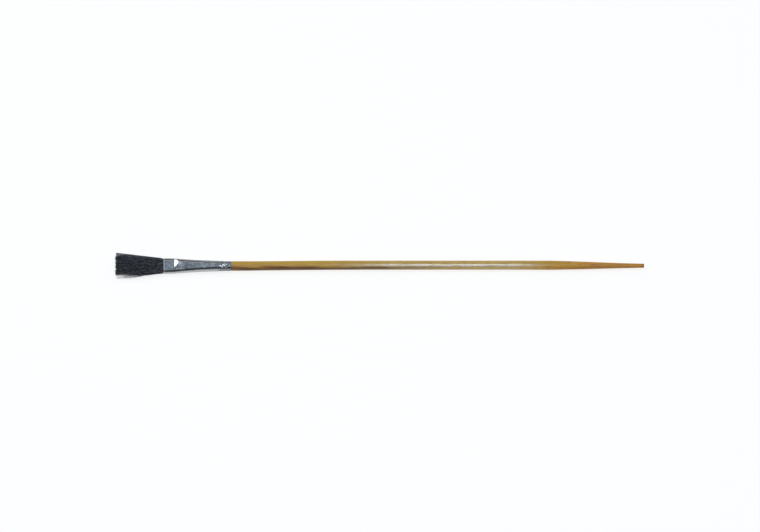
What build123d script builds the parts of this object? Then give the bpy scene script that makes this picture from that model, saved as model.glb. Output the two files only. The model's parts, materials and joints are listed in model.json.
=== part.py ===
"""Long-handled flat brush: wooden handle, crimped tinplate ferrule and a flared tuft of black bristles.

The brush lies on its flat side. X runs along it, with the bristle tips at -X and the handle's tail at +X.
Z is up, and Z = 0 is the surface it lies on. The origin is under the middle of its bounding box.
"""

from build123d import *
import os

# ---- driving dimensions, millimetres ----
bristle_length = 30.0       # ferrule mouth to cut tips
ferrule_length = 41.5
handle_showing = 254.0      # handle behind the ferrule, 10 inches
handle_diameter = 5.56      # 7/32 inch dowel
handle_depth = 14.0         # handle held inside the ferrule
tenon_diameter = 5.48       # handle at the ferrule's rear edge, where the crimp squeezes it
nose_diameter = 5.36
tail_taper_length = 57.0
tail_diameter = 2.3
ferrule_wall = 0.22         # tinplate sheet
mouth_width = 9.525         # 3/8 inch brush
mouth_thickness = 4.6
fit_gap = 0.02              # around the pieces glued or crimped in the ferrule
collar_diameter = tenon_diameter + 2 * (ferrule_wall + fit_gap)     # round rear end of the ferrule

# ---- places along the brush ----
overall_length = bristle_length + ferrule_length + handle_showing
tip_x = -overall_length / 2
mouth_x = tip_x + bristle_length
collar_end_x = mouth_x + ferrule_length
tail_x = overall_length / 2
axis_z = collar_diameter / 2
long_axis = Axis((0, 0, axis_z), (1, 0, 0))

# ---- ferrule: outline at stations along it ----
# (distance from the mouth, width across the flat, thickness through the flat)
band_length = 6.5           # flat band pressed into the mouth end
step_length = 0.4           # short ramp up from the band
round_slack = 0.02          # keeps the round end's outline of the same kind as the flat mouth's
stations = [
    (0.0, mouth_width, mouth_thickness),
    (band_length, 9.45, mouth_thickness),
    (band_length + step_length, 9.35, 4.86),
    (12.5, 8.45, 5.15),
    (20.0, 7.55, 5.65),
    (26.5, 6.95, collar_diameter),
    (34.5, 6.42, collar_diameter),
    (37.0, collar_diameter + round_slack, collar_diameter),
    (ferrule_length, collar_diameter + round_slack, collar_diameter),
]

# ---- crimps: punched dents that hold the handle ----
crimp_setbacks = (2.0, 5.4)     # from the ferrule's rear end to each dent
crimp_depth = 0.5
crimp_length = 3.1
punch_radius = (crimp_length**2 / 4 + crimp_depth**2) / (2 * crimp_depth)
punch_height = collar_diameter / 2 - crimp_depth + punch_radius

# ---- pieces inside the ferrule ----
butt_length = 17.0          # bristles behind the mouth
resin_length = 3.5
thread_setback = 12.5       # mouth to the thread tied round the butts
thread_width = 2.1
thread_inside = (6.7, 3.8)  # width and thickness
thread_outside = (7.55, 4.55)

# ---- tuft ----
root_radius = 2.0           # rounded root that rocks in front of the mouth
root_clearance = 0.25       # mouth to the rounded root
hinge_x = mouth_x - root_clearance - root_radius
tip_half_thickness = collar_diameter / 2
upper_edge = (4.35, 6.05, 8.29)      # distance from the axis at the root, midway and at the tip
lower_edge = (-4.10, -5.20, -5.80)
root_gap = 0.04             # between neighbouring locks
tip_gap = 0.28
lock_trims = (0.35, 0.0, 0.45, 0.15, 0.6, 0.1, 0.4, 0.0, 0.3)   # how much shorter each lock is cut
lock_slimming = 0.35        # the outermost locks are this much thinner than the middle one
stray_diameter = 0.3
stray_root_y = -4.42
stray_tips = (-6.5, -7.6, -7.0, -8.0, -6.8, -7.8, -7.3)         # across the brush, one for each stray
stray_root_pitch = 0.4
stray_tip_pitch = 0.6


def cross_plane(x):
    """Plane square to the brush at x, with its own x across the brush and its own y up."""
    return Plane(origin=(x, 0, axis_z), x_dir=(0, 1, 0), z_dir=(1, 0, 0))


def ferrule_form(inset):
    """Solid with the ferrule's outline, drawn in by inset all round."""
    with BuildPart() as form:
        for front, back in zip(stations, stations[1:]):
            for distance, width, thickness in (front, back):
                with BuildSketch(cross_plane(mouth_x + distance)):
                    SlotOverall(width - 2 * inset, thickness - 2 * inset)
            loft(ruled=True)
    return form.part


def crimp_centres():
    """Centres of the punches, on both flats of the ferrule."""
    return [
        (collar_end_x - setback, 0, axis_z + side * punch_height)
        for setback in crimp_setbacks
        for side in (1, -1)
    ]


def ferrule_filling(start, end):
    """Stretch of whatever fills the ferrule, between two distances from the mouth."""
    with BuildPart() as filling:
        add(ferrule_form(ferrule_wall + fit_gap))
        split(bisect_by=cross_plane(mouth_x + start), keep=Keep.TOP)
        split(bisect_by=cross_plane(mouth_x + end), keep=Keep.BOTTOM)
    return filling.part


# ---- handle: turned dowel with a tapered tail, dented by the crimps ----
handle_radius = handle_diameter / 2
nose_radius = nose_diameter / 2
nose_x = collar_end_x - handle_depth
taper_x = tail_x - tail_taper_length
nose_chamfer = 0.6
tail_rounding = 0.35
with BuildPart() as handle:
    with BuildSketch(Plane(origin=(0, 0, axis_z), x_dir=(1, 0, 0), z_dir=(0, -1, 0))):
        with BuildLine():
            nose = Polyline(
                (nose_x, 0),
                (nose_x, nose_radius - nose_chamfer),
                (nose_x + nose_chamfer, nose_radius),
                (collar_end_x, tenon_diameter / 2),
                (collar_end_x, handle_radius),
                (taper_x, handle_radius),
            )
            taper = Spline(
                nose @ 1,
                (taper_x + 0.35 * tail_taper_length, 0.82 * handle_radius),
                (tail_x, tail_diameter / 2),
                tangents=((1, 0), (1, -0.055)),
            )
            Polyline(taper @ 1, (tail_x, 0), nose @ 0)
        make_face()
    revolve(axis=long_axis)
    fillet(handle.edges().sort_by(Axis.X)[-1], radius=tail_rounding)
    with Locations(*crimp_centres()):
        Sphere(punch_radius + ferrule_wall + fit_gap, mode=Mode.SUBTRACT)
handle.part.label = "handle"

# ---- ferrule: tinplate shell, flat at the mouth and round at the handle ----
with BuildPart() as bore:
    add(ferrule_form(ferrule_wall))
    with Locations(*crimp_centres()):
        Sphere(punch_radius + ferrule_wall, mode=Mode.SUBTRACT)
with BuildPart() as ferrule:
    add(ferrule_form(0))
    with Locations(*crimp_centres()):
        Sphere(punch_radius, mode=Mode.SUBTRACT)
    add(bore.part, mode=Mode.SUBTRACT)
ferrule.part.label = "ferrule"

# ---- bristle butts: the part of the bristles that the ferrule grips ----
with BuildPart() as bristle_butts:
    add(ferrule_filling(0, butt_length))
    with BuildSketch(cross_plane(mouth_x + thread_setback - fit_gap)):
        Rectangle(mouth_width, collar_diameter)
        SlotOverall(*(size - 2 * fit_gap for size in thread_inside), mode=Mode.SUBTRACT)
    extrude(amount=thread_width + 2 * fit_gap, mode=Mode.SUBTRACT)
bristle_butts.part.label = "bristle_butts"

# ---- binding thread: tied round the butts before they go into the ferrule ----
with BuildPart() as binding_thread:
    with BuildSketch(cross_plane(mouth_x + thread_setback)):
        SlotOverall(*thread_outside)
        SlotOverall(*thread_inside, mode=Mode.SUBTRACT)
    extrude(amount=thread_width)
binding_thread.part.label = "binding_thread"

# ---- setting resin: poured on the butts, it locks them in the ferrule ----
with BuildPart() as setting_resin:
    add(ferrule_filling(butt_length + fit_gap, butt_length + resin_length))
setting_resin.part.label = "setting_resin"


# ---- bristle locks: the tuft splits into locks that fan out from the mouth ----
def edge_points(share, gap_side, end_x):
    """Root, middle and tip of a lock's edge: share runs from 0 at the lower edge to 1 at the upper."""
    root, middle, tip = (low + share * (high - low) for low, high in zip(lower_edge, upper_edge))
    root_x = hinge_x + root_radius
    middle_gap = (root_gap + tip_gap) / 2
    return (
        (root_x, root + gap_side * root_gap / 2),
        ((root_x + end_x) / 2, middle + gap_side * middle_gap / 2),
        (end_x, tip + gap_side * tip_gap / 2),
    )


def bristle_lock(index):
    """One lock: its outline from above, crossed with its outline from the side."""
    count = len(lock_trims)
    end_x = tip_x + lock_trims[index]
    lower = edge_points(index / count, 1, end_x)
    upper = edge_points((index + 1) / count, -1, end_x)
    off_centre = abs(2 * (index + 0.5) / count - 1)
    slim = 1 - lock_slimming * off_centre**2
    root_half = root_radius * slim
    tip_half = tip_half_thickness * (slim + (1 - slim) / 2)
    with BuildPart() as lock:
        with BuildSketch(Plane.XY):
            with BuildLine():
                ThreePointArc(*lower)
                Line(lower[2], upper[2])
                ThreePointArc(*upper)
                Line(upper[0], lower[0])
            make_face()
        extrude(amount=2 * axis_z)
        with BuildSketch(Plane(origin=(hinge_x, 0, axis_z), x_dir=(1, 0, 0), z_dir=(0, -1, 0))):
            with BuildLine():
                ThreePointArc((0, root_half), (root_half, 0), (0, -root_half))
                Polyline(
                    (0, -root_half),
                    (end_x - hinge_x, -tip_half),
                    (end_x - hinge_x, tip_half),
                    (0, root_half),
                )
            make_face()
        extrude(amount=mouth_width, both=True, mode=Mode.INTERSECT)
    return lock.part


locks = [bristle_lock(index) for index in range(len(lock_trims))]
for number, lock in enumerate(locks, start=1):
    lock.label = f"bristle_lock_{number}"

# ---- stray bristles: a few that splay away from the tuft's lower corner ----
with BuildPart() as stray_bristles:
    for index, tip_y in enumerate(stray_tips):
        level = index - (len(stray_tips) - 1) / 2
        root = Vector(hinge_x, stray_root_y, axis_z + level * stray_root_pitch)
        tip = Vector(tip_x + 0.3, tip_y, axis_z + level * stray_tip_pitch)
        with BuildSketch(Plane(origin=root, z_dir=tip - root)):
            Circle(stray_diameter / 2)
        extrude(amount=(tip - root).length)
stray_bristles.part.label = "stray_bristles"

# ---- one file for each piece ----
os.makedirs("parts", exist_ok=True)
export_step(handle.part, "parts/handle.step")
export_step(ferrule.part, "parts/ferrule.step")
export_step(bristle_butts.part, "parts/bristle_butts.step")
export_step(binding_thread.part, "parts/binding_thread.step")
export_step(setting_resin.part, "parts/setting_resin.step")
for lock in locks:
    export_step(lock, f"parts/{lock.label}.step")
export_step(stray_bristles.part, "parts/stray_bristles.step")
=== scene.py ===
import json
import math

import bpy
import numpy as np
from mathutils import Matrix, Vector

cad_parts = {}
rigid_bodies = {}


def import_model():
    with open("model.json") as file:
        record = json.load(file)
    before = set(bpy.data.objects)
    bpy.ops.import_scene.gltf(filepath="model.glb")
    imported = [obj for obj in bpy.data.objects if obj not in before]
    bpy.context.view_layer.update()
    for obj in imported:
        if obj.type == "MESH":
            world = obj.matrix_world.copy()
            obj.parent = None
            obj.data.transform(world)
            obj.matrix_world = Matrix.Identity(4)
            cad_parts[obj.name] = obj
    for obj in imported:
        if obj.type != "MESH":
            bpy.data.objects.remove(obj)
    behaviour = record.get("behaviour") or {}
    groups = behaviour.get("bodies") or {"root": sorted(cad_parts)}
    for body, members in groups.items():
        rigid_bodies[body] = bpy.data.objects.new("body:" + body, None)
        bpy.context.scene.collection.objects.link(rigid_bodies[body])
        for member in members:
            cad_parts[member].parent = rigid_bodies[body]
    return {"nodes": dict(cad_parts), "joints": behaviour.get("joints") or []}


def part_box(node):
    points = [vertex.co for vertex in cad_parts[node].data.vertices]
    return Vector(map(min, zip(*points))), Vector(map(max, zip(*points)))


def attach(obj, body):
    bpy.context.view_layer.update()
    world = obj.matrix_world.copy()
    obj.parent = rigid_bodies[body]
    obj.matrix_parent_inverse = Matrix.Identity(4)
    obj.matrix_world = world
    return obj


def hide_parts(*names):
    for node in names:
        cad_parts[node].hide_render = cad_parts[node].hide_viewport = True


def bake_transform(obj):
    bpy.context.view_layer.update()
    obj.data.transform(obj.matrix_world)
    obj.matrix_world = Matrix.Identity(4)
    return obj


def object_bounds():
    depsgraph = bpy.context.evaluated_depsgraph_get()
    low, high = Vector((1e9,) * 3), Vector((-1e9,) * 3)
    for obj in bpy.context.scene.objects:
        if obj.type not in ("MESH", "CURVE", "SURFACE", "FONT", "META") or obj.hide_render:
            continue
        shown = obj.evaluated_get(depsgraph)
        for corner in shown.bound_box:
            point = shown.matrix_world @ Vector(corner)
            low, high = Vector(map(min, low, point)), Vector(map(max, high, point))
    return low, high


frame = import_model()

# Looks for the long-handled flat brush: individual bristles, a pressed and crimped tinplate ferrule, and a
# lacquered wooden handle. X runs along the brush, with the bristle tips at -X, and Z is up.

MM = 0.001
rng = np.random.default_rng(7)

# ---- places and sizes from the CAD frame, in metres ----
cad_low, cad_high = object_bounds()
ferrule_low, ferrule_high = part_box("ferrule")
handle_low, handle_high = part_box("handle")
butts_low, butts_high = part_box("bristle_butts")
LOCKS = sorted(n for n in frame["nodes"] if n.startswith("bristle_lock_"))
BASE_BODY = frame["joints"][0]["parent"]
MOUTH_X = ferrule_low.x
COLLAR_END_X = ferrule_high.x
TIP_X = cad_low.x
TAIL_X = handle_high.x
AXIS_Z = (ferrule_low.z + ferrule_high.z) / 2
COLLAR_RADIUS = (ferrule_high.z - ferrule_low.z) / 2
HANDLE_RADIUS = (handle_high.y - handle_low.y) / 2
FERRULE_LENGTH = COLLAR_END_X - MOUTH_X
BRISTLE_LENGTH = MOUTH_X - TIP_X


# ================= small helpers =================
def smoothstep(low, high, x):
    """Eases from 0 to 1 as x goes from low to high. low may be the larger."""
    t = np.clip((x - low) / (high - low), 0, 1)
    return t * t * (3 - 2 * t)


def profile(stations, at, spread):
    """Smooth curve through rough stations [(place, value), ...]: straight runs, rounded over spread."""
    places, values = np.array(stations, float).T
    step = spread / 12
    fine = np.arange(places[0] - 4 * spread, places[-1] + 4 * spread, step)
    offsets = np.arange(-3 * spread, 3 * spread + step, step)
    kernel = np.exp(-0.5 * (offsets / spread) ** 2)
    kernel /= kernel.sum()
    runs = np.interp(fine, places, values)
    # before the first station the line goes on with the slope that it has after it
    before = 2 * values[0] - np.interp(2 * places[0] - fine, places, values)
    runs = np.where(fine < places[0], before, runs)
    rounded = np.convolve(runs, kernel, mode="same")
    return np.interp(at, fine, rounded)


def new_mesh(name, verts, faces, smooth=True):
    mesh = bpy.data.meshes.new(name)
    mesh.from_pydata(np.asarray(verts, float).tolist(), [], faces)
    mesh.update()
    if smooth:
        mesh.shade_smooth()
    obj = bpy.data.objects.new(name, mesh)
    bpy.context.scene.collection.objects.link(obj)
    return obj


def grid_faces(rings, around, first=0):
    """Quads joining rings of vertices, each ring closed on itself."""
    faces = []
    for i in range(rings - 1):
        a, b = first + i * around, first + (i + 1) * around
        for j in range(around):
            k = (j + 1) % around
            faces.append((a + j, a + k, b + k, b + j))
    return faces


def tubes(name, paths, radii, sides):
    """One mesh of many closed round tubes. paths is (tubes, points, 3) and radii (tubes, points)."""
    count, points = paths.shape[:2]
    tangent = np.gradient(paths, axis=1)
    tangent /= np.linalg.norm(tangent, axis=2, keepdims=True)
    across = np.cross(tangent, np.array([0.0, 0.0, 1.0]))
    upright = np.linalg.norm(across, axis=2, keepdims=True) < 1e-6
    across = np.where(upright, np.array([0.0, 1.0, 0.0]), across)
    across /= np.linalg.norm(across, axis=2, keepdims=True)
    up = np.cross(tangent, across)
    turn = np.arange(sides) * 2 * math.pi / sides
    ring = (
        across[:, :, None, :] * np.cos(turn)[None, None, :, None]
        + up[:, :, None, :] * np.sin(turn)[None, None, :, None]
    )
    verts = paths[:, :, None, :] + ring * radii[:, :, None, None]
    faces = []
    for tube in range(count):
        first = tube * points * sides
        faces += grid_faces(points, sides, first)
        faces.append(tuple(first + j for j in reversed(range(sides))))
        last = first + (points - 1) * sides
        faces.append(tuple(last + j for j in range(sides)))
    obj = new_mesh(name, verts.reshape(-1, 3), faces)
    flat = np.array([len(p.vertices) != 4 for p in obj.data.polygons])
    obj.data.polygons.foreach_set("use_smooth", ~flat)
    return obj


# ================= node helpers =================
class Nodes:
    """A material and its nodes, with short calls to add and join them."""

    def __init__(self, name):
        self.material = bpy.data.materials.new(name)
        self.material.use_nodes = True
        self.tree = self.material.node_tree
        self.shader = self.tree.nodes["Principled BSDF"]

    def add(self, kind, inputs=None, **settings):
        node = self.tree.nodes.new(kind)
        for key, value in settings.items():
            setattr(node, key, value)
        for key, value in (inputs or {}).items():
            self.put(node.inputs[key], value)
        return node

    def put(self, socket, value):
        if isinstance(value, bpy.types.NodeSocket):
            self.tree.links.new(value, socket)
        else:
            socket.default_value = value

    def set(self, **inputs):
        for key, value in inputs.items():
            self.put(self.shader.inputs[key.replace("_", " ")], value)

    def place(self):
        """Object coordinates, which are the shared frame's metres."""
        return self.add("ShaderNodeTexCoord").outputs["Object"]

    def stretched(self, scale, place, offset=(0, 0, 0)):
        """Coordinates for a texture. A small first scale draws it out along the brush."""
        inputs = {"Vector": place, "Scale": scale, "Location": offset}
        return self.add("ShaderNodeMapping", inputs).outputs["Vector"]

    def noise(self, vector, scale, detail, roughness=0.55, distortion=0.0):
        inputs = {"Vector": vector, "Scale": scale, "Detail": detail}
        inputs |= {"Roughness": roughness, "Distortion": distortion}
        return self.add("ShaderNodeTexNoise", inputs).outputs["Fac"]

    def ramp(self, value, stops):
        node = self.add("ShaderNodeValToRGB", {"Fac": value})
        marks = node.color_ramp.elements
        while len(marks) < len(stops):
            marks.new(0.5)
        for mark, (at, colour) in zip(marks, stops):
            mark.position = at
            mark.color = (*colour, 1.0)
        return node.outputs["Color"]

    def mix(self, share, a, b):
        node = self.add("ShaderNodeMix", data_type="RGBA")
        self.put(node.inputs["Factor"], share)
        self.put(node.inputs["A"], a if isinstance(a, bpy.types.NodeSocket) else (*a, 1.0))
        self.put(node.inputs["B"], b if isinstance(b, bpy.types.NodeSocket) else (*b, 1.0))
        return node.outputs["Result"]

    def maths(self, how, a, b=0.0, clamp=False):
        """One arithmetic node. clamp keeps the result between 0 and 1."""
        node = self.add("ShaderNodeMath", operation=how, use_clamp=clamp)
        self.put(node.inputs[0], a)
        self.put(node.inputs[1], b)
        return node.outputs["Value"]

    def plus(self, a, b):
        return self.maths("ADD", a, b)

    def minus(self, a, b):
        return self.maths("SUBTRACT", a, b)

    def times(self, a, b, clamp=False):
        return self.maths("MULTIPLY", a, b, clamp)

    def spread(self, value, low, high, to_low=0.0, to_high=1.0):
        """Eases from to_low to to_high as value goes from low to high, and stays there beyond them."""
        node = self.add(
            "ShaderNodeMapRange",
            {"Value": value, "From Min": low, "From Max": high, "To Min": to_low, "To Max": to_high},
            interpolation_type="SMOOTHSTEP",
        )
        return node.outputs["Result"]

    def split(self, vector, part):
        return self.add("ShaderNodeSeparateXYZ", {"Vector": vector}).outputs[part]

    def bump(self, height, distance, strength, under=None):
        inputs = {"Height": height, "Distance": distance, "Strength": strength}
        if under is not None:
            inputs["Normal"] = under
        return self.add("ShaderNodeBump", inputs).outputs["Normal"]


# ================= materials =================
def tinplate():
    m = Nodes("tinplate")
    place = m.place()
    x, y = m.split(place, "X"), m.split(place, "Y")
    facing = m.add("ShaderNodeTexCoord").outputs["Normal"]
    sideways, upward = m.split(facing, "Y"), m.split(facing, "Z")
    mottle = m.noise(m.stretched((0.8, 1, 1), place), 620, detail=5, roughness=0.6)
    rolling = m.noise(m.stretched((0.25, 1, 1), place), 1500, detail=3, roughness=0.6)
    draw_lines = m.noise(m.stretched((0.04, 1, 1), place), 4200, detail=3)
    smudge = m.noise(m.stretched((0.6, 1, 1), place), 150, detail=3, roughness=0.6)
    specks = m.noise(place, 2600, detail=2)
    # mottled grey, with streaks from the rolling mill, smudges and specks
    tone = m.mix(m.spread(mottle, 0.38, 0.62), (0.33, 0.35, 0.385), (0.60, 0.615, 0.62))
    tone = m.mix(m.spread(rolling, 0.44, 0.62, 0.0, 0.8), tone, (0.33, 0.345, 0.37))
    tone = m.mix(m.spread(smudge, 0.52, 0.78, 0.0, 0.8), tone, (0.33, 0.335, 0.34))
    tone = m.mix(m.spread(specks, 0.66, 0.78, 0.0, 0.6), tone, (0.25, 0.24, 0.22))
    # painted shade on the +Y side, a painted reflection on the -Y side, and painted shade on the -Y side near
    # the collar
    tone = m.mix(m.spread(sideways, 0.60, 0.85), tone, (0.30, 0.31, 0.325))
    ahead = m.spread(x, COLLAR_END_X - 2.75 * MM, COLLAR_END_X - 12.75 * MM, 0.25, 1.0)
    painted_reflection = m.times(m.spread(sideways, -0.60, -0.80), ahead)
    tone = m.mix(painted_reflection, tone, (0.47, 0.485, 0.51))
    near_collar = m.spread(x, COLLAR_END_X - 9.75 * MM, COLLAR_END_X - 4.75 * MM)
    painted_shade_by_collar = m.times(m.spread(sideways, -0.50, -0.75), near_collar)
    tone = m.mix(painted_shade_by_collar, tone, (0.24, 0.245, 0.255))
    # painted shade along the two shoulders, least near the collar
    aside = m.maths("ABSOLUTE", sideways)
    shoulder = m.minus(m.spread(aside, 0.30, 0.50), m.spread(aside, 0.60, 0.76))
    shoulder = m.times(shoulder, m.spread(smudge, 0.25, 0.55, 0.45, 0.75))
    fading = m.spread(x, COLLAR_END_X - 26.75 * MM, COLLAR_END_X - 8.75 * MM, 1.0, 0.30)
    tone = m.mix(m.times(shoulder, fading), tone, (0.20, 0.20, 0.205))
    # lacquer that has yellowed in the -Y corner of the mouth
    at_mouth = m.spread(x, MOUTH_X + 3.55 * MM, MOUTH_X + 0.95 * MM)
    corner = m.times(m.spread(y, -3.4 * MM, -4.2 * MM), at_mouth)
    tone = m.mix(m.times(corner, m.spread(mottle, 0.3, 0.6, 0.3, 0.9)), tone, (0.40, 0.39, 0.24))
    # painted shade round the crimps, on the face that looks up, which dims their glint
    round_crimps = m.spread(x, COLLAR_END_X - 7.8 * MM, COLLAR_END_X - 6.2 * MM)
    crimp_shade = m.times(round_crimps, m.spread(upward, 0.3, 0.8, 0.0, 0.50))
    tone = m.mix(crimp_shade, tone, (0.22, 0.225, 0.24))
    # a painted glint in an oval patch beside the press's facet
    along = m.maths("DIVIDE", m.minus(x, MOUTH_X + 9.8 * MM), 2.0 * MM)
    across = m.maths("DIVIDE", m.minus(y, 1.4 * MM), 1.1 * MM)
    reach = m.plus(m.times(along, along), m.times(across, across))
    painted_glint = m.times(m.spread(reach, 1.3, 0.3), m.spread(upward, 0.3, 0.8))
    painted_glint = m.times(painted_glint, m.spread(mottle, 0.30, 0.60, 0.5, 0.9))
    tone = m.mix(painted_glint, tone, (0.92, 0.93, 0.94))
    # a painted highlight along the cut edge of the mouth
    cut_edge = m.spread(x, MOUTH_X + 0.75 * MM, MOUTH_X + 0.35 * MM, 0.0, 0.8)
    tone = m.mix(cut_edge, tone, (0.85, 0.86, 0.87))
    m.set(Base_Color=tone, Metallic=1.0, Specular_Tint=(0.42, 0.43, 0.45, 1.0))
    m.set(Roughness=m.plus(m.plus(m.times(mottle, 0.08), m.times(smudge, 0.10)), 0.05))
    wavy = m.bump(smudge, 0.10 * MM, 0.35)
    m.set(Normal=m.bump(draw_lines, 0.010 * MM, 0.5, wavy))
    return m.material


def lacquered_wood():
    m = Nodes("lacquered_wood")
    place = m.place()
    x, y, z = (m.split(place, part) for part in "XYZ")
    broad = m.noise(m.stretched((0.035, 1, 1), place), 420, detail=3, distortion=0.4)
    grain = m.noise(m.stretched((0.030, 1, 1), place), 1900, detail=5, roughness=0.6)
    pores = m.noise(m.stretched((0.08, 1, 1), place, (3, 1, 2)), 4200, detail=2)
    streaks = m.noise(m.stretched((0.06, 1, 1), place, (7, 2, 4)), 760, detail=4, roughness=0.65)
    # speckle for the painted highlight on the worn ridge
    highlight_speckles = m.noise(m.stretched((0.26, 1, 1), place, (2, 5, 3)), 1000, detail=4, roughness=0.7)
    long_wander = m.noise(m.stretched((0.05, 0, 0), place), 300, detail=3)
    blotches = m.noise(m.stretched((0.12, 1, 1), place), 520, detail=4, roughness=0.6)
    ambers = [(0.30, (0.52, 0.280, 0.028)), (0.52, (0.59, 0.360, 0.038)), (0.75, (0.61, 0.405, 0.052))]
    wood = m.ramp(broad, ambers)
    # the lacquer is worn along the middle of the handle
    worn_from = m.spread(x, COLLAR_END_X + 51.25 * MM, COLLAR_END_X + 106.25 * MM)
    worn_to = m.spread(x, TAIL_X - 82.75 * MM, TAIL_X - 50.75 * MM)
    worn = m.minus(worn_from, worn_to)
    wood = m.mix(m.times(worn, 0.75), wood, (0.60, 0.425, 0.150))
    # it is redder on the tail, with streaks where it lies thick
    tail = m.spread(x, TAIL_X - 87.75 * MM, TAIL_X - 17.75 * MM)
    wood = m.mix(m.times(tail, 0.8), wood, (0.66, 0.300, 0.008))
    streaky = m.times(m.spread(streaks, 0.46, 0.62), tail)
    wood = m.mix(m.times(streaky, 0.65), wood, (0.42, 0.110, 0.010))
    wood = m.mix(m.spread(grain, 0.42, 0.68, 0.0, 0.6), wood, (0.36, 0.180, 0.018))
    wood = m.mix(m.spread(pores, 0.56, 0.68, 0.0, 0.70), wood, (0.20, 0.095, 0.022))
    # the angle round the handle, in radians: 0 on top, negative towards -Y
    angle = m.maths("ARCTAN2", y, m.minus(z, AXIS_Z))
    # a painted highlight: pale speckles along the ridge of the worn stretch
    ridge = m.minus(m.spread(angle, -0.75, -0.35), m.spread(angle, -0.05, 0.35))
    painted_highlight = m.times(m.times(ridge, worn), m.spread(highlight_speckles, 0.38, 0.62, 0.15, 0.75))
    wood = m.mix(painted_highlight, wood, (0.58, 0.555, 0.520))
    # marks on the -Y side, with edges that wander: red at both ends, partly a red stain and partly painted
    # shade, and a dark painted shade along the front half
    wander = m.plus(m.spread(long_wander, 0.3, 0.7, -0.22, 0.22), m.spread(blotches, 0.3, 0.7, -0.20, 0.20))
    angle = m.plus(angle, wander)
    both_ends = m.plus(m.spread(x, COLLAR_END_X + 131.25 * MM, COLLAR_END_X + 31.25 * MM), tail)
    red_stain_and_shade = m.minus(m.spread(angle, 0.35, -0.60), m.spread(angle, -1.6, -2.5))
    red_stain_and_shade = m.times(red_stain_and_shade, both_ends, clamp=True)
    wood = m.mix(m.times(red_stain_and_shade, 0.70), wood, (0.36, 0.140, 0.020))
    # painted shade: the -Y side of the front half drawn dark
    painted_shade = m.minus(m.spread(angle, -0.22, -0.75), m.spread(angle, -1.45, -2.0))
    front_half = m.spread(x, COLLAR_END_X + 151.25 * MM, COLLAR_END_X + 71.25 * MM)
    painted_shade = m.times(painted_shade, front_half, clamp=True)
    painted_shade = m.times(painted_shade, m.spread(x, COLLAR_END_X, COLLAR_END_X + 10 * MM, 0.6, 1.0))
    painted_shade = m.times(painted_shade, m.spread(blotches, 0.30, 0.65, 0.95, 0.70))
    wood = m.mix(painted_shade, wood, (0.075, 0.028, 0.010))
    # the bare end of the tail has gone dark
    bare_end = m.spread(x, TAIL_X - 2.2 * MM, TAIL_X - 0.4 * MM)
    wood = m.mix(m.times(bare_end, 0.6), wood, (0.150, 0.065, 0.015))
    m.set(Base_Color=wood, Specular_IOR_Level=0.6)
    # rubbed smooth along the worn middle, and duller towards both ends
    gloss = m.plus(m.spread(worn, 0.0, 1.0, 0.52, 0.22), m.spread(grain, 0.3, 0.8, -0.04, 0.08))
    m.set(Roughness=gloss)
    fibres = m.bump(grain, 0.04 * MM, 0.35)
    m.set(Normal=m.bump(pores, 0.02 * MM, 0.4, fibres))
    return m.material


def bristle_black():
    m = Nodes("bristle_black")
    own = m.add("ShaderNodeNewGeometry").outputs["Random Per Island"]
    place = m.place()
    x, y = m.split(place, "X"), m.split(place, "Y")
    along = m.noise(m.stretched((0.25, 1, 1), place), 1500, detail=2)
    locks = m.noise(m.stretched((0.04, 1, 1), place), 700, detail=2)
    streaks = m.noise(m.stretched((0.05, 1, 1), place), 1500, detail=3, roughness=0.7)
    glints = m.noise(m.stretched((0.50, 1, 1), place, (5, 2, 1)), 1250, detail=2, roughness=0.6)
    # each bristle has a black of its own
    blacks = [(0.0, (0.014, 0.015, 0.019)), (0.7, (0.030, 0.033, 0.041)), (1.0, (0.085, 0.093, 0.112))]
    tone = m.ramp(own, blacks)
    # a painted sheen in streaks, lighter towards the +Y side
    sheen_side = m.spread(y, -3 * MM, 8 * MM, 0.10, 1.0)
    painted_sheen = m.times(m.spread(streaks, 0.46, 0.66), sheen_side)
    tone = m.mix(painted_sheen, tone, (0.125, 0.140, 0.180))
    # painted glints and painted shade in the gaps, and tones that change from lock to lock and along the
    # bristles
    tone = m.mix(m.spread(glints, 0.51, 0.63, 0.0, 0.80), tone, (0.150, 0.160, 0.180))
    tone = m.mix(m.spread(glints, 0.49, 0.38, 0.0, 0.95), tone, (0.007, 0.007, 0.009))
    tone = m.mix(m.spread(locks, 0.48, 0.66, 0.0, 0.40), tone, (0.050, 0.058, 0.078))
    tone = m.mix(m.spread(along, 0.45, 0.75, 0.0, 0.5), tone, (0.010, 0.010, 0.013))
    # the outermost hairs on the +Y side are lighter grey, beyond a line that leans with the tuft's edge:
    # partly pale hairs and partly painted rim light
    lean = 0.115
    edge = m.minus(m.plus(y, m.times(x, lean)), lean * MOUTH_X)
    tone = m.mix(m.spread(edge, 3.2 * MM, 4.3 * MM, 0.0, 0.70), tone, (0.20, 0.205, 0.235))
    m.set(Base_Color=tone, Roughness=m.spread(along, 0.3, 0.7, 0.36, 0.52), Specular_IOR_Level=0.28)
    m.set(Normal=m.bump(along, 0.010 * MM, 0.3))
    return m.material


def cured_resin():
    m = Nodes("cured_resin")
    cloud = m.noise(m.place(), 700, detail=4)
    m.set(Base_Color=m.ramp(cloud, [(0.3, (0.30, 0.15, 0.04)), (0.7, (0.48, 0.28, 0.09))]))
    m.set(Roughness=m.spread(cloud, 0.3, 0.7, 0.18, 0.36), Normal=m.bump(cloud, 0.05 * MM, 0.4))
    return m.material


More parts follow.
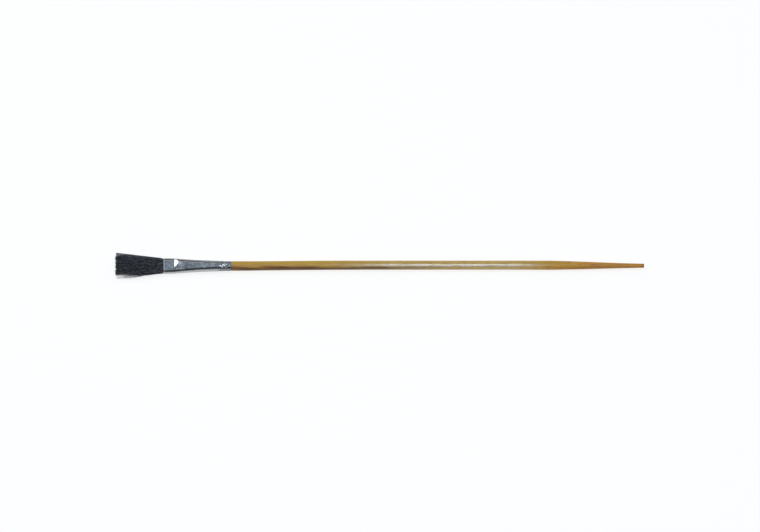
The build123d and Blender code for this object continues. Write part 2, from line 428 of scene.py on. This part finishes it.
def cotton_thread():
    m = Nodes("cotton_thread")
    place = m.place()
    inputs = {"Vector": place, "Scale": 1400.0, "Distortion": 2.0}
    twist = m.add("ShaderNodeTexWave", inputs, bands_direction="DIAGONAL").outputs["Fac"]
    fuzz = m.noise(place, 5000, detail=3)
    m.set(Base_Color=m.mix(twist, (0.50, 0.46, 0.38), (0.70, 0.66, 0.57)))
    m.set(Roughness=m.spread(fuzz, 0.3, 0.7, 0.75, 0.95), Normal=m.bump(twist, 0.03 * MM, 0.6))
    return m.material


# ================= ferrule =================
SHEET = 0.22 * MM       # tinplate thickness
AROUND = 144            # vertices in each ring of the mesh
# the tube's width across the flat and its thickness through it, at distances from the mouth, in millimetres
WIDTHS = [
    (0, 9.70), (3, 9.55), (6.5, 9.40), (12.5, 8.40), (20, 7.48),
    (26.5, 6.90), (34.5, 6.38), (37.2, 5.97), (41.5, 5.96),
]
THICKNESSES = [(0, 4.86), (6.5, 4.9), (12.5, 5.15), (20, 5.65), (26.5, 5.93), (34.5, 5.96), (41.5, 5.96)]
# crimps on each face: distance from the mouth, place across, half length, half width, turn, and how much the
# floor rises along X and falls across
CRIMPS = (
    (36.4 * MM, -0.15 * MM, 1.70 * MM, 0.78 * MM, math.radians(48), 0.150, 0.076),
    (39.2 * MM, -0.25 * MM, 1.50 * MM, 1.00 * MM, math.radians(24), 0.075, 0.030),
)
CRIMP_DEPTH = 0.42 * MM
BAND_END = 6.5 * MM     # rear edge of the band pressed round the mouth
BAND_DEPTH = 0.13 * MM
# how far the crowned faces drop at the -Y shoulder, at distances from the mouth, in millimetres
CROWN = [(0, 0.14), (6.5, 0.14), (9, 0.24), (13, 0.22), (17, 0.11), (26, 0.10), (34, 0)]
# the facet's plane: its height above the axis at one point of the band's edge, that point's place across, and
# its slopes along X and across
FACET_TOP = 2.43 * MM
FACET_FROM = -2.0 * MM
FACET_RISE = math.tan(math.radians(12.0))
FACET_FALL = math.tan(math.radians(6.5))


def ferrule_section(distance):
    """Half width and half thickness of the tube, before pressing, at a distance from the mouth."""
    s = np.asarray(distance) / MM
    rounding = 0.9
    return profile(WIDTHS, s, rounding) * MM / 2, profile(THICKNESSES, s, rounding) * MM / 2


def stadium(half_width, half_thickness, share):
    """Points round a flat oval, at shares 0 to 1 of the way: up the +Y end, over, and back underneath."""
    core = np.maximum(half_width - half_thickness, 0)
    arc, flat = math.pi * half_thickness, 2 * core
    run = share * 2 * (arc + flat)
    turn = np.where(
        run < arc,
        run / half_thickness - math.pi / 2,
        np.where(
            run < arc + flat,
            math.pi / 2,
            np.where(run < 2 * arc + flat, (run - flat) / half_thickness - math.pi / 2, 1.5 * math.pi),
        ),
    )
    on_top = np.clip(run - arc, 0, flat)
    on_bottom = np.clip(run - 2 * arc - flat, 0, flat)
    centre = core - on_top + on_bottom
    return centre + half_thickness * np.cos(turn), half_thickness * np.sin(turn)


def crimped(s, y, height):
    """How far the punches push the wall in: oval pits with flat floors that lean towards -X and +Y."""
    squareness = 2.4
    dent = np.zeros_like(s)
    for place, across, half_long, half_across, turn, rise, fall in CRIMPS:
        ds, dy = s - place, y - across
        along = (ds * math.cos(turn) + dy * math.sin(turn)) / half_long
        aside = (dy * math.cos(turn) - ds * math.sin(turn)) / half_across
        reach = (np.abs(along) ** squareness + np.abs(aside) ** squareness) ** (1 / squareness)
        floor = math.sqrt(COLLAR_RADIUS**2 - across**2) - CRIMP_DEPTH + rise * ds - fall * dy
        dent = dent + np.maximum(np.abs(height) - floor, 0) * smoothstep(1.12, 0.80, reach)
    return dent


def pressed(s, y, z):
    """How far the press and the punches push the wall in, along Z, at each point of the tube."""
    half_width, half_thickness = ferrule_section(s)
    flatness = smoothstep(0.35, 0.95, np.abs(z) / half_thickness)
    # the band ends in a step, which softens towards the -Y shoulder
    step = 0.35 * MM + 1.1 * MM * smoothstep(-1.5 * MM, -2.5 * MM, y)
    behind = smoothstep(0, 1, (s - BAND_END) / step)
    band = BAND_DEPTH * (1 - behind) * flatness
    # both faces are crowned towards -Y, most just behind the band
    core = np.maximum(half_width - half_thickness, 0.3 * MM)
    fall = np.clip((0.4 * MM - y) / (core + 0.6 * MM), 0, 1)
    crown = profile(CROWN, s / MM, 0.8) * MM * fall**2 * smoothstep(0.0, 0.6, np.abs(z) / half_thickness)
    # the corner that the press folds down behind the band: a flat three-cornered facet, on the top face only
    plane = FACET_TOP + FACET_RISE * (s - BAND_END) - FACET_FALL * (y - FACET_FROM)
    soft = 0.014 * MM
    proud = np.abs(z) - band - crown - plane
    facet = soft * np.logaddexp(0, proud / soft)
    facet = np.where(z > 0, facet, 0) * smoothstep(BAND_END, BAND_END + 0.2 * MM, s)
    waves = np.sin(s / MM * 0.9 + y / MM * 0.8) * np.sin(s / MM * 0.37 + 1.3)
    ripple = 0.020 * MM * (1 + waves) * behind * flatness
    return np.maximum(band + crown + facet + crimped(s, y, z) + ripple, 0)


def ferrule_rows():
    """Distances from the mouth of the mesh's rings: close where the press and the punches work."""
    spans = ((0, 6.2, 0.35), (6.2, 7.2, 0.09), (7.2, 11.5, 0.17), (11.5, 33.0, 0.6), (33.0, 41.5, 0.13))
    rows = [np.arange(start, end, pitch) for start, end, pitch in spans]
    return np.concatenate([*rows, [41.5]]) * MM


def rolled_edge(outer, inner, inward):
    """Rings round the sheet's cut edge, from its outer wall to its inner. inward is 1 or -1, along X."""
    rings = []
    for degrees in (30, 90, 150):
        turn = math.radians(degrees)
        ring = (outer + inner) / 2 + (outer - inner) / 2 * math.cos(turn)
        ring[:, 0] += inward * SHEET / 2 * (1 - math.sin(turn))
        rings.append(ring)
    return rings


def build_ferrule():
    rows = ferrule_rows()
    share = np.arange(AROUND) / AROUND
    s = np.repeat(rows[:, None], AROUND, axis=1)
    half_width, half_thickness = ferrule_section(rows)
    y, z = stadium(half_width[:, None], half_thickness[:, None], share[None, :])
    z = z - np.sign(z) * pressed(s, y, z)
    outer = np.stack([MOUTH_X + s, y, AXIS_Z + z], axis=2)
    along = np.gradient(outer, axis=0)
    around = np.roll(outer, -1, axis=1) - np.roll(outer, 1, axis=1)
    normal = np.cross(around, along)
    normal /= np.linalg.norm(normal, axis=2, keepdims=True)
    inner = outer - normal * SHEET
    inner[:, :, 0] = outer[:, :, 0]
    front = rolled_edge(outer[0], inner[0], 1)[::-1]
    rear = rolled_edge(outer[-1], inner[-1], -1)
    for wall in (outer, inner):
        wall[0, :, 0] += SHEET / 2
        wall[-1, :, 0] -= SHEET / 2
    rings = np.concatenate([front, outer, rear, inner[::-1]])
    faces = grid_faces(len(rings), AROUND)
    last = (len(rings) - 1) * AROUND
    faces += [(last + j, last + (j + 1) % AROUND, (j + 1) % AROUND, j) for j in range(AROUND)]
    obj = new_mesh("ferrule_shell", rings.reshape(-1, 3), faces)
    obj.data.materials.append(tinplate())
    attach(obj, BASE_BODY)
    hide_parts("ferrule")


# ================= handle =================
TENON_RADIUS = HANDLE_RADIUS - 0.04 * MM        # inside the ferrule
LACQUER = 0.07 * MM                             # how much fuller the lacquered handle is than the CAD's
TAPER_LENGTH = 57 * MM
TAPER = [(0, HANDLE_RADIUS), (20 * MM, 2.28 * MM), (40 * MM, 1.60 * MM), (TAPER_LENGTH, 1.15 * MM)]
TAIL_ROUNDING = 0.35 * MM


def bow(x):
    """The dowel's slight bow towards +Y. It comes part of the way back along the tail."""
    out = 0.56 * MM * smoothstep(COLLAR_END_X - 6 * MM, COLLAR_END_X + 75 * MM, x)
    return out - 0.36 * MM * smoothstep(TAIL_X - 77.75 * MM, TAIL_X, x)


def handle_outline():
    """Places along the handle and its radius at each, from its nose in the ferrule to its rounded tail."""
    chamfer = 0.7 * MM
    taper_start = TAIL_X - TAPER_LENGTH
    inside = np.arange(handle_low.x + 0.6 * MM, COLLAR_END_X - 0.1 * MM, 0.2 * MM)
    straight = np.arange(COLLAR_END_X + 0.6 * MM, taper_start, 1.5 * MM)
    taper = np.linspace(0, TAPER_LENGTH - TAIL_ROUNDING, 60)
    end = np.radians(np.linspace(15, 90, 6))
    # the handle is a little fuller where it meets the collar
    swollen = 0.10 * MM * smoothstep(COLLAR_END_X + 26 * MM, COLLAR_END_X, straight)
    taper_radius = profile(TAPER, taper, 3 * MM) + LACQUER
    x = [
        [handle_low.x],
        inside,
        [COLLAR_END_X, COLLAR_END_X, COLLAR_END_X + 0.15 * MM],
        straight,
        taper_start + taper,
        TAIL_X - TAIL_ROUNDING * (1 - np.sin(end)),
    ]
    r = [
        [TENON_RADIUS - chamfer],
        np.full(len(inside), TENON_RADIUS),
        [TENON_RADIUS, HANDLE_RADIUS - 0.03 * MM, HANDLE_RADIUS],
        HANDLE_RADIUS + LACQUER + swollen,
        taper_radius,
        taper_radius[-1] - TAIL_ROUNDING * (1 - np.cos(end)),
    ]
    return np.concatenate(x), np.concatenate(r)


def build_handle():
    around = 72
    x, r = handle_outline()
    turn = np.arange(around) * 2 * math.pi / around
    along = np.repeat(x[:, None], around, axis=1)
    across = r[:, None] * np.cos(turn)[None, :] + bow(along)
    height = r[:, None] * np.sin(turn)[None, :]
    # the crimps dent the wood inside the ferrule as they dent the tin
    s = along - MOUTH_X
    held = (s < FERRULE_LENGTH - 0.05 * MM) & (np.abs(height) > 0.05 * MM)
    height -= np.sign(height) * crimped(s, across, height * COLLAR_RADIUS / TENON_RADIUS) * held
    rings = np.stack([along, across, AXIS_Z + height], axis=2)
    faces = grid_faces(len(x), around)
    last = (len(x) - 1) * around
    faces += [tuple(reversed(range(around))), tuple(range(last, last + around))]
    obj = new_mesh("handle_dowel", rings.reshape(-1, 3), faces)
    for cap in obj.data.polygons[-2:]:
        cap.use_smooth = False
    obj.data.materials.append(lacquered_wood())
    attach(obj, BASE_BODY)
    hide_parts("handle")


# ================= bristles =================
BRISTLE_RADIUS = 0.092 * MM
PITCH = 0.205 * MM              # between neighbouring bristles in the mouth
MOUTH_HALF_THICKNESS = 2.3 * MM
# half width and half thickness of the room for the bristles' centres in the mouth
HALF_OPEN = (
    (ferrule_high.y - ferrule_low.y) / 2 - SHEET - BRISTLE_RADIUS,
    MOUTH_HALF_THICKNESS - SHEET - BRISTLE_RADIUS,
)
START_X = MOUTH_X + 0.8 * MM    # the bristles start just inside the mouth, among the ends of the butts
POINTS = 15                     # along each bristle
FRINGE = 24                     # bristles that splay on the +Y side
STRAYS = 33                     # bristles that splay from the -Y corner


def bristle_roots():
    """Places across the mouth: a close-packed grid, shaken a little, inside the flat oval."""
    half_width, half_thickness = HALF_OPEN
    rows = np.arange(-half_thickness, half_thickness + PITCH, PITCH * math.sqrt(3) / 2)
    places = []
    for i, z in enumerate(rows):
        for y in np.arange(-half_width, half_width + PITCH, PITCH) + (i % 2) * PITCH / 2:
            places.append((y, z))
    places = np.array(places)
    places += rng.normal(0, 0.12 * PITCH, places.shape)
    core = half_width - half_thickness
    beyond = np.hypot(np.maximum(np.abs(places[:, 0]) - core, 0), places[:, 1])
    return places[beyond < half_thickness]


def share_across(roots):
    """0 at the mouth's -Y end, 1 at its +Y end."""
    return (roots[:, 0] / HALF_OPEN[0] + 1) / 2


def lock_of(roots):
    """Which lock each bristle belongs to, counted from the -Y edge, with a ragged border."""
    share = share_across(roots) + rng.normal(0, 0.012, len(roots))
    return np.clip((share * len(LOCKS)).astype(int), 0, len(LOCKS) - 1)


def clumps(tips, pitch):
    """Centres of the clumps that the bristles gather into, as a shaken grid, and each bristle's clump."""
    low, high = tips.min(0) - pitch, tips.max(0) + pitch
    grid = np.stack(np.meshgrid(np.arange(low[0], high[0], pitch), np.arange(low[1], high[1], pitch)), -1)
    centres = grid.reshape(-1, 2) + rng.uniform(-0.42, 0.42, (grid.size // 2, 2)) * pitch
    gap = np.linalg.norm(tips[:, None, :] - centres[None, :, :], axis=2)
    return centres, gap.argmin(1)


def bristle_ends(roots, lock):
    """Each bristle's tip (across and up from the axis), where it is cut, its clump, and whether it splays."""
    upper_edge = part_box(LOCKS[-1])[1].y
    upper_tip = upper_edge - 1.40 * MM
    lower_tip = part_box(LOCKS[0])[0].y - 0.20 * MM
    share = share_across(roots)
    tip_y = lower_tip + (upper_tip - lower_tip) * share + rng.normal(0, 0.10 * MM, len(roots))
    # a thin fringe of the outermost bristles on the +Y side splays further out
    outermost = np.flatnonzero(share > 0.93)
    splayed = np.zeros(len(roots), bool)
    splayed[rng.permutation(outermost)[:FRINGE]] = True
    tip_y[splayed] = np.linspace(upper_tip - 0.3 * MM, upper_edge - 0.1 * MM, splayed.sum())
    tip_z = roots[:, 1] * (COLLAR_RADIUS - 0.12 * MM) / (HALF_OPEN[1] + BRISTLE_RADIUS)
    # the tips gather into clumps, which lean up or down and are cut to different lengths
    tips = np.stack([tip_y, tip_z], axis=1)
    centres, clump = clumps(tips, 1.05 * MM)
    tips += (centres[clump] - tips) * np.where(splayed, 0.1, 0.45)[:, None]
    tips[:, 1] += rng.normal(0, 0.22 * MM, len(centres))[clump] + rng.normal(0, 0.05 * MM, len(roots))
    tips[:, 1] = np.clip(tips[:, 1], -COLLAR_RADIUS + 0.1 * MM, COLLAR_RADIUS - 0.02 * MM)
    cut = np.array([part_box(name)[0].x for name in LOCKS])[lock]
    cut = cut + np.abs(rng.normal(0, 0.28 * MM, len(centres)))[clump]
    cut = cut + np.abs(rng.normal(0, 0.14 * MM, len(roots)))
    return tips, cut, clump, len(centres), splayed


def bristle_paths(roots, lock):
    """Points along each bristle: it fans out, sways with its clump, and swells just outside the mouth."""
    tips, cut, clump, clump_count, splayed = bristle_ends(roots, lock)
    t = np.linspace(0, 1, POINTS)[None, :] ** 1.25
    wander = rng.normal(0, 0.10 * MM, (clump_count, 2))[clump] + rng.normal(0, 0.05 * MM, (len(roots), 2))
    phase = rng.uniform(0.6, 1.5, clump_count)[clump]
    sway = np.sin(t * math.pi * phase[:, None])
    outside = np.maximum(t * BRISTLE_LENGTH - (START_X - MOUTH_X), 0)
    swell = 0.38 * MM / HALF_OPEN[0] * (1 - np.exp(-outside / (1.1 * MM))) * (1 - t)
    fan = (np.where(splayed[:, None], t**0.95, t**1.25), t**1.25)
    y, z = (
        roots[:, i, None] * (1 + swell) + (tips - roots)[:, i, None] * fan[i] + wander[:, i, None] * sway
        for i in (0, 1)
    )
    x = START_X + (cut - START_X)[:, None] * t
    return np.stack([x, y, AXIS_Z + np.maximum(z, BRISTLE_RADIUS - COLLAR_RADIUS)], axis=2)


def build_bristles(material):
    """The bristles outside the ferrule, one mesh for each lock. Returns their places in the mouth."""
    roots = bristle_roots()
    lock = lock_of(roots)
    paths = bristle_paths(roots, lock)
    thinning = 1 - 0.22 * np.linspace(0, 1, POINTS)[None, :] ** 2.5
    thick = BRISTLE_RADIUS * rng.uniform(0.80, 1.08, (len(roots), 1)) * thinning
    for index, node in enumerate(LOCKS):
        chosen = lock == index
        obj = tubes(f"bristles_{index + 1}", paths[chosen], thick[chosen], 6)
        finish_bristles(obj, node, material)
    return roots


def finish_bristles(obj, node, material):
    """Gives the bristles their material, bakes their place into the mesh, and hides the CAD lock that they
    stand for.
    """
    obj.data.materials.append(material)
    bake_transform(obj)
    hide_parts(node)


def build_strays(material):
    """Bristles that leave the -Y corner of the tuft and splay outwards. Two in three are broken off short."""
    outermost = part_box("stray_bristles")[0].y
    t = np.linspace(0, 1, POINTS)
    tip_y = np.linspace(-5.6 * MM, outermost + 0.25 * MM, STRAYS) + rng.normal(0, 0.10 * MM, STRAYS)
    broken = np.arange(STRAYS) % 3 > 0
    root_y = -4.32 * MM + rng.normal(0, 0.04 * MM, STRAYS)
    y = root_y[:, None] + (tip_y - root_y)[:, None] * t[None, :]
    y += 0.10 * MM * rng.normal(0, 1, (STRAYS, 1)) * np.sin(t * math.pi * 1.3)[None, :]
    root_z = rng.uniform(-1.1 * MM, 1.1 * MM, STRAYS)
    tip_z = rng.uniform(-2.3 * MM, 1.2 * MM, STRAYS)
    z = root_z[:, None] + (tip_z - root_z)[:, None] * t[None, :] ** 1.3
    end_x = TIP_X + rng.uniform(0.1 * MM, 1.6 * MM, STRAYS)
    end_x += broken * rng.uniform(4.5 * MM, 9.0 * MM, STRAYS)
    x = START_X + (end_x - START_X)[:, None] * t[None, :]
    paths = np.stack([x, y, AXIS_Z + z], axis=2)
    thick = BRISTLE_RADIUS * rng.uniform(0.60, 0.85, (STRAYS, 1)) * (1 - 0.35 * t[None, :] ** 2)
    finish_bristles(tubes("bristles_splayed", paths, thick, 6), "stray_bristles", material)


# ================= inside the ferrule =================
def room_inside(s, y, z):
    """Height of the pressed tube's inner wall above (or below) the axis, at places across it."""
    s = np.full_like(y, s)
    half_width, half_thickness = ferrule_section(s)
    beyond = np.clip((np.abs(y) - half_width + half_thickness) / half_thickness, 0, 1)
    wall = half_thickness * np.sqrt(1 - beyond**2)
    wall = wall - pressed(s, y, np.where(z < 0, -wall, wall))
    return np.maximum(wall - SHEET, 0.2 * MM)


def build_butts(roots, material):
    """The rear ends of the same bristles, squeezed where the thread ties them."""
    # points along the butts, as shares of their length: closest at the band's step and at the thread
    shares = np.array([0.02, 0.35, 0.40, 0.45, 0.53, 0.62, 0.70, 0.735, 0.86, 0.895, 1.0])
    tied_half_size = (3.2 * MM, 1.75 * MM)
    slack = 0.2 * MM
    paths = np.zeros((len(roots), len(shares), 3))
    for i, share in enumerate(shares):
        s = share * (butts_high.x - butts_low.x)
        tied = 0.72 < share < 0.88
        open_half_size = (float(half) - SHEET - slack for half in ferrule_section(s))
        wide, thick = tied_half_size if tied else open_half_size
        y = roots[:, 0] * wide / (HALF_OPEN[0] + BRISTLE_RADIUS)
        z = roots[:, 1] * thick / (HALF_OPEN[1] + BRISTLE_RADIUS)
        room = room_inside(s, y, z) - BRISTLE_RADIUS
        paths[:, i] = np.stack([np.full_like(y, MOUTH_X + s), y, AXIS_Z + np.clip(z, -room, room)], axis=1)
    obj = tubes("butt_bundle", paths, np.full(paths.shape[:2], BRISTLE_RADIUS * 0.95), 5)
    obj.data.materials.append(material)
    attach(obj, BASE_BODY)
    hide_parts("bristle_butts")


def build_thread():
    """Thread wound round the butts in five turns."""
    low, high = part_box("binding_thread")
    radius = 0.2 * MM
    turns, steps = 5, 56
    share = np.linspace(0, turns, turns * steps + 1)
    half_width = (high.y - low.y) / 2 - radius
    half_thickness = (high.z - low.z) / 2 - radius
    y, z = stadium(half_width, half_thickness, share % 1)
    x = low.x + radius + share / turns * (high.x - low.x - 2 * radius)
    paths = np.stack([x, y, AXIS_Z + z], axis=1)[None]
    obj = tubes("thread_winding", paths, np.full(paths.shape[:2], radius), 8)
    obj.data.materials.append(cotton_thread())
    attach(obj, BASE_BODY)
    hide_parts("binding_thread")


def finish_resin():
    """The CAD's own resin is shown, with a better material."""
    resin = frame["nodes"]["setting_resin"].data
    resin.materials.clear()
    resin.materials.append(cured_resin())


# ================= stage =================
def build_floor():
    """A grey floor that glows, so that it looks nearly white and the shadows on it stay faint."""
    size = 30.0
    level = -0.02 * MM      # just under the brush
    corners = [(-size, -size, level), (size, -size, level), (size, size, level), (-size, size, level)]
    obj = new_mesh("studio_floor", corners, [(0, 1, 2, 3)], smooth=False)
    m = Nodes("studio_floor")
    m.set(Base_Color=(0.28, 0.28, 0.28, 1), Roughness=0.9, Specular_IOR_Level=0.1)
    m.set(Emission_Color=(1, 1, 1, 1), Emission_Strength=0.78)
    obj.data.materials.append(m.material)


def build_world():
    """Studio surroundings that change with the angle round the brush's long axis."""
    world = bpy.data.worlds.new("studio")
    world.use_nodes = True
    bpy.context.scene.world = world
    tree = world.node_tree
    place = tree.nodes.new("ShaderNodeTexCoord")
    parts = tree.nodes.new("ShaderNodeSeparateXYZ")
    tree.links.new(place.outputs["Generated"], parts.inputs[0])
    angle = tree.nodes.new("ShaderNodeMath")
    angle.operation = "ARCTAN2"
    tree.links.new(parts.outputs["Y"], angle.inputs[0])
    tree.links.new(parts.outputs["Z"], angle.inputs[1])
    share = tree.nodes.new("ShaderNodeMapRange")
    share.inputs["From Min"].default_value = -math.pi
    share.inputs["From Max"].default_value = math.pi
    tree.links.new(angle.outputs[0], share.inputs["Value"])
    ramp = tree.nodes.new("ShaderNodeValToRGB")
    tree.links.new(share.outputs["Result"], ramp.inputs["Fac"])
    # degrees from straight up towards +Y, how bright, and how blue
    stops = [
        (-120, 0.40, 0.0), (-74, 0.44, 0.0), (-58, 0.12, 0.3), (-30, 0.10, 0.5), (-6, 0.27, 1.1),
        (14, 0.39, 1.2), (30, 0.46, 0.7), (45, 0.58, 0.2), (64, 0.34, 0.0), (85, 0.16, 0.0),
    ]
    marks = ramp.color_ramp.elements
    while len(marks) < len(stops):
        marks.new(0.5)
    for mark, (degrees, level, blue) in zip(marks, stops):
        mark.position = (degrees + 180) / 360
        mark.color = (level * (1 - 0.13 * blue), level, level * (1 + 0.15 * blue), 1)
    # close to the horizon the surroundings are the floor's own pale grey all round
    low_down = tree.nodes.new("ShaderNodeMapRange")
    low_down.interpolation_type = "SMOOTHSTEP"
    low_down.inputs["From Min"].default_value = math.sin(math.radians(8))
    low_down.inputs["From Max"].default_value = math.sin(math.radians(2))
    tree.links.new(parts.outputs["Z"], low_down.inputs["Value"])
    both = tree.nodes.new("ShaderNodeMix")
    both.data_type = "RGBA"
    both.inputs["B"].default_value = (0.862, 0.867, 0.875, 1)
    tree.links.new(low_down.outputs["Result"], both.inputs["Factor"])
    tree.links.new(ramp.outputs["Color"], both.inputs["A"])
    back = tree.nodes["Background"]
    tree.links.new(both.outputs["Result"], back.inputs["Color"])
    back.inputs["Strength"].default_value = 1.0


def soft_light(name, towards, distance, size, power, aim=(0, 0, 0), colour=(1, 1, 1)):
    """A softbox in a direction from the point it is aimed at. Distances and sizes are in metres."""
    light = bpy.data.lights.new(name, "AREA")
    light.color = colour
    light.shape = "RECTANGLE"
    light.size, light.size_y = size
    light.energy = power
    obj = bpy.data.objects.new(name, light)
    bpy.context.scene.collection.objects.link(obj)
    direction = Vector(towards).normalized()
    obj.location = Vector(aim) + direction * distance
    obj.rotation_mode = "QUATERNION"
    obj.rotation_quaternion = direction.to_track_quat("Z", "Y")


def build_lights():
    ferrule_middle = (MOUTH_X + 8 * MM, 0, AXIS_Z)
    soft_light("key", (-0.415, 0.442, 0.796), 1.3, (0.26, 0.28), 1.7, ferrule_middle)
    handle_middle = (60 * MM, 0, AXIS_Z)
    pale_blue = (0.88, 0.97, 1.0)
    soft_light("overhead", (0.0, -0.08, 1.0), 1.25, (0.13, 0.75), 5.6, handle_middle, pale_blue)
    soft_light("left_fill", (-0.80, 0.12, 0.58), 1.2, (0.40, 0.40), 1.2, ferrule_middle)
    soft_light("right_fill", (0.80, 0.15, 0.60), 1.4, (0.40, 0.40), 0.8)


def build_camera():
    """Looks down at the brush from its -Y side, 14 degrees off straight down."""
    elevation = math.radians(76)
    brush_share = 0.69605       # how much of the picture's width the brush takes up
    frame_width = (TAIL_X - TIP_X) / brush_share
    data = bpy.data.cameras.new("camera")
    data.lens = 200
    data.sensor_width = 36
    distance = frame_width * data.lens / data.sensor_width
    data.clip_start, data.clip_end = 0.05, 100
    obj = bpy.data.objects.new("camera", data)
    bpy.context.scene.collection.objects.link(obj)
    back = Vector((0, -math.cos(elevation), math.sin(elevation)))
    target = Vector((0.30 * MM, 0.02 * MM, AXIS_Z))
    obj.location = target + back * distance
    obj.rotation_mode = "QUATERNION"
    obj.rotation_quaternion = back.to_track_quat("Z", "Y")
    bpy.context.scene.camera = obj


build_camera()
build_world()
build_lights()
build_floor()
build_ferrule()
build_handle()
black = bristle_black()
roots = build_bristles(black)
build_strays(black)
build_butts(roots, black)
build_thread()
finish_resin()
bpy.context.scene.view_settings.view_transform = "Standard"
